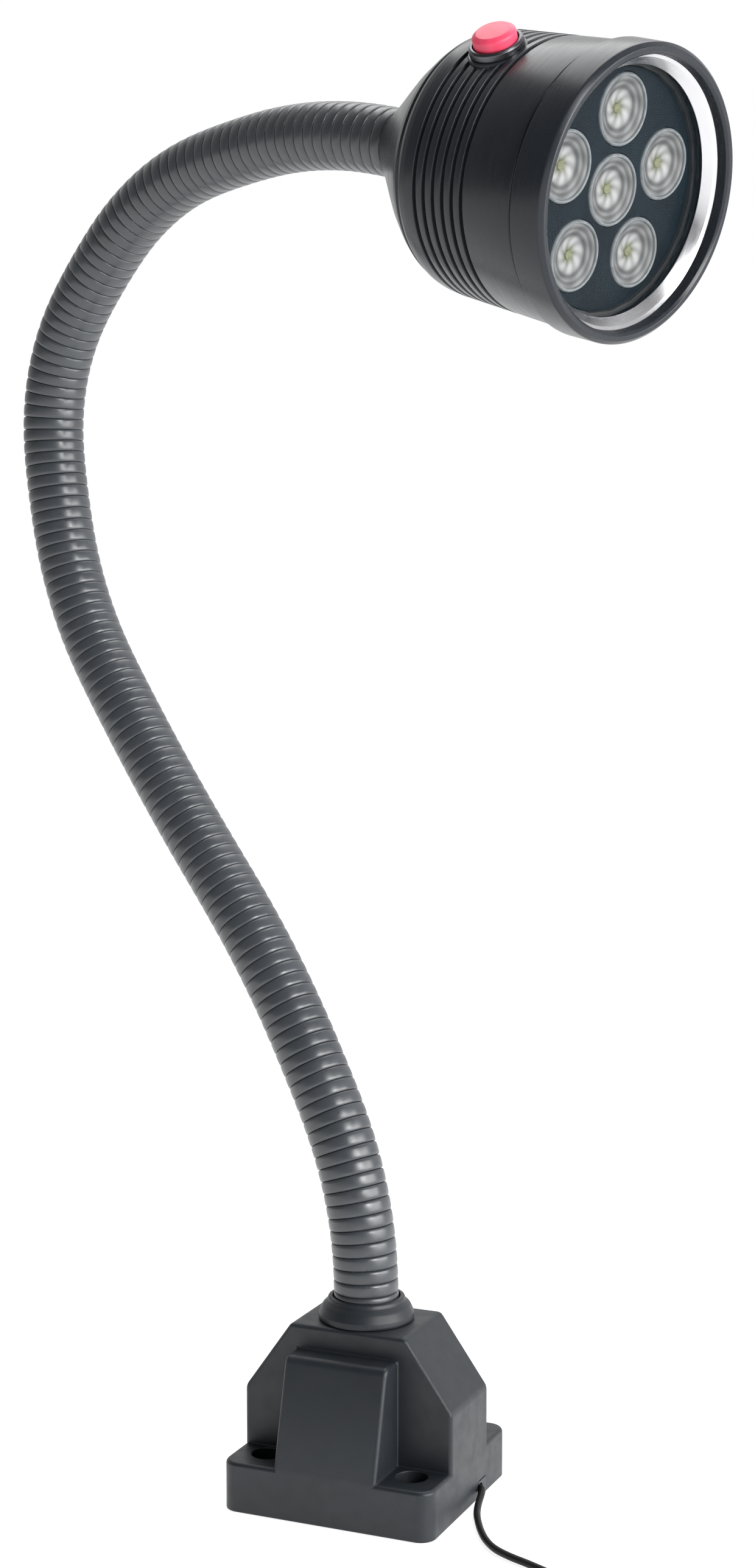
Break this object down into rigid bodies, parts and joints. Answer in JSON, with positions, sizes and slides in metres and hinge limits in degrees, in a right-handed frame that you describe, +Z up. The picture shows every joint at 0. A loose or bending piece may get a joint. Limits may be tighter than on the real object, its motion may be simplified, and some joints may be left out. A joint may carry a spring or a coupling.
{
  "type": "gooseneck examination lamp",
  "caption": "Examination lamp with a small screw-down plastic base, a ribbed stay-put gooseneck and a finned round metal head holding LEDs behind lenses, with a push button.",
  "frame": {"origin": "centre of the underside of the base", "axes": "+X along the front of the base to its right-hand side, +Y to the back, +Z up; millimetres in the source, metres here"},
  "size_m": [0.2666, 0.1674, 0.4364],
  "materials": {
    "base_plastic": "matte",
    "neck_core": "satin",
    "neck_sleeve": "satin",
    "screw_steel": "satin",
    "brass": "satin",
    "rubber": "matte",
    "cord": "satin",
    "white_plastic": "matte",
    "plug_metal": "polished",
    "head_metal": "gloss",
    "window": "gloss",
    "lens": "gloss",
    "lens_plate": "gloss",
    "led_board": "satin",
    "led": "gloss",
    "driver_board": "satin",
    "switch_body": "matte",
    "switch_metal": "polished",
    "button": "satin"
  },
  "bodies": {
    "base": {"neck_core_1": "neck_core", "neck_sleeve_1": "neck_sleeve", "base_housing": "base_plastic", "base_cover": "base_plastic", "base_cover_screw_1": "screw_steel", "base_cover_screw_2": "screw_steel", "base_cover_screw_3": "screw_steel", "base_cover_screw_4": "screw_steel", "neck_collar": "base_plastic", "neck_lower_ferrule": "brass", "neck_lock_nut": "brass", "cord_grommet": "rubber", "cord_inner_lead": "cord", "cord_clamp": "white_plastic", "terminal_block": "white_plastic", "supply_cord": "cord", "supply_cord_tail": "cord", "supply_cord_coil": "cord", "cord_tie": "rubber", "plug_body": "rubber", "plug_barrel": "plug_metal"},
    "neck_2": {"neck_core_2": "neck_core", "neck_sleeve_2": "neck_sleeve"},
    "neck_3": {"neck_core_3": "neck_core", "neck_sleeve_3": "neck_sleeve"},
    "neck_4": {"neck_core_4": "neck_core", "neck_sleeve_4": "neck_sleeve"},
    "neck_5": {"neck_core_5": "neck_core", "neck_sleeve_5": "neck_sleeve"},
    "neck_6": {"neck_core_6": "neck_core", "neck_sleeve_6": "neck_sleeve"},
    "head": {"neck_core_7": "neck_core", "neck_sleeve_7": "neck_sleeve", "neck_upper_ferrule": "brass", "head_lock_nut": "brass", "head_rear_cap": "head_metal", "head_body": "head_metal", "bezel_ring": "head_metal", "window_gasket": "rubber", "front_window": "window", "lens_holder": "lens_plate", "led_board": "led_board", "lens_1": "lens", "led_1": "led", "lens_2": "lens", "led_2": "led", "lens_3": "lens", "led_3": "led", "lens_4": "lens", "led_4": "led", "lens_5": "lens", "led_5": "led", "lens_6": "lens", "led_6": "led", "driver_board": "driver_board", "switch_body": "switch_body", "switch_nut": "switch_metal", "switch_collar": "switch_metal"},
    "button": {"button_cap": "button"}
  },
  "joints": [
    {"name": "neck_bend_1", "type": "hinge", "parent": "base", "child": "neck_2", "pos_m": [-0.01873, 0.00682, 0.12713], "axis": [-0.342, -0.9397, 0], "range_deg": [-15, 15]},
    {"name": "neck_sway_1", "type": "hinge", "parent": "neck_2", "child": "neck_3", "pos_m": [-0.06115, 0.02226, 0.18705], "axis": [-0.6906, 0.2514, -0.6782], "range_deg": [-20, 20]},
    {"name": "neck_bend_2", "type": "hinge", "parent": "neck_3", "child": "neck_4", "pos_m": [-0.10698, 0.03894, 0.24425], "axis": [-0.342, -0.9397, 0], "range_deg": [-25, 25]},
    {"name": "neck_sway_2", "type": "hinge", "parent": "neck_4", "child": "neck_5", "pos_m": [-0.13519, 0.0492, 0.31199], "axis": [-0.9265, 0.3372, -0.1668], "range_deg": [-25, 25]},
    {"name": "neck_bend_3", "type": "hinge", "parent": "neck_5", "child": "neck_6", "pos_m": [-0.11536, 0.04199, 0.38015], "axis": [-0.342, -0.9397, 0], "range_deg": [-25, 25]},
    {"name": "neck_sway_3", "type": "hinge", "parent": "neck_6", "child": "head", "pos_m": [-0.05398, 0.01965, 0.41322], "axis": [-0.1259, 0.0458, 0.991], "range_deg": [-25, 25]},
    {"name": "button_press", "type": "slide", "parent": "head", "child": "button", "axis": [0.0133, 0.6207, -0.784], "range_m": [0, 0.0012], "stiffness_N_per_m": 700}
  ]
}
